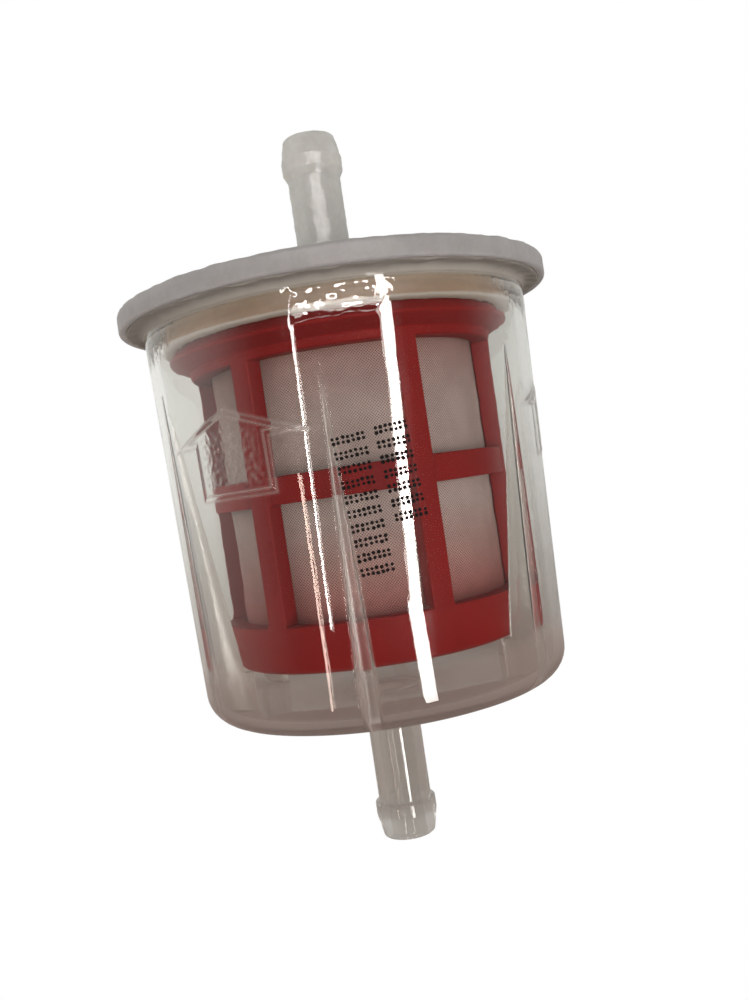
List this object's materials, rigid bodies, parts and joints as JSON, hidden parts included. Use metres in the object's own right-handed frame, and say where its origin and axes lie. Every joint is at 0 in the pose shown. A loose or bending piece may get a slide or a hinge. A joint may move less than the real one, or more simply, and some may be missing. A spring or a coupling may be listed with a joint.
{
  "type": "in-line fuel filter",
  "caption": "Sealed in-line fuel filter: clear plastic bowl, milky lid, barbed hose tails at both ends and a red cage strainer with a woven sleeve inside.",
  "frame": {"origin": "centre of the inlet hose tail's end face, the lowest point", "axes": "+Z along the filter's axis towards the lid and outlet tail, -Y between two cage bars at the front"},
  "size_m": [0.0644, 0.0644, 0.1074],
  "materials": {
    "clear_plastic": "clear gloss",
    "milky_plastic": "translucent satin",
    "red_plastic": "moulded gloss",
    "woven_mesh": "fine plain weave"
  },
  "bodies": {
    "root": {"bowl": "clear_plastic", "lid": "milky_plastic", "strainer_cage": "red_plastic", "strainer_mesh": "woven_mesh"}
  },
  "joints": []
}
